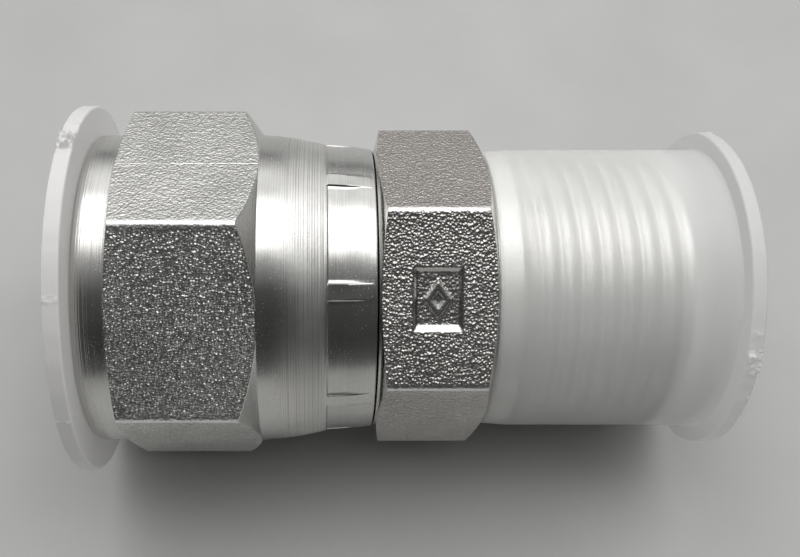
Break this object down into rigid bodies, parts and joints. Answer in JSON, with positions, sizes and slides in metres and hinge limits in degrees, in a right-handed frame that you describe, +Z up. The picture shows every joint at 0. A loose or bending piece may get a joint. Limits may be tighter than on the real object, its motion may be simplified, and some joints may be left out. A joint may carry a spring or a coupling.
{
  "type": "hydraulic swivel adapter",
  "caption": "Straight face-seal tube fitting: hexagon adapter body with a male thread at one end and a crimped swivel nut at the other, both ends closed by translucent protectors.",
  "frame": {"origin": "on the bore axis, in the plane of the male sealing face", "axes": "+X along the bore from the swivel nut to the male thread; +Z up through a corner of the body hexagon; +Y completes the right-handed frame"},
  "size_m": [0.0726, 0.0428, 0.0428],
  "materials": {
    "body_zinc": "bright zinc plate over turned and forged steel; the hexagon is grainy",
    "nut_zinc": "bright zinc plate over turned and forged steel; the hexagon is grainy",
    "ring_rubber": "smooth moulded nitrile rubber",
    "plug_polyethylene": "milky translucent low-density polyethylene",
    "cap_polyethylene": "milky translucent low-density polyethylene"
  },
  "bodies": {
    "fitting": {"adapter_body": "body_zinc", "face_seal_o_ring": "ring_rubber"},
    "nut": {"swivel_nut": "nut_zinc"},
    "plug": {"nut_plug": "plug_polyethylene"},
    "cap": {"male_thread_cap": "cap_polyethylene"}
  },
  "joints": [
    {"name": "nut_swivel", "type": "hinge", "parent": "fitting", "child": "nut", "pos_m": [-0.0495, 0, 0], "axis": [1, 0, 0], "continuous": true},
    {"name": "plug_pull", "type": "slide", "parent": "nut", "child": "plug", "axis": [-1, 0, 0], "range_m": [0, 0.02]},
    {"name": "cap_pull", "type": "slide", "parent": "fitting", "child": "cap", "axis": [1, 0, 0], "range_m": [0, 0.03]}
  ]
}
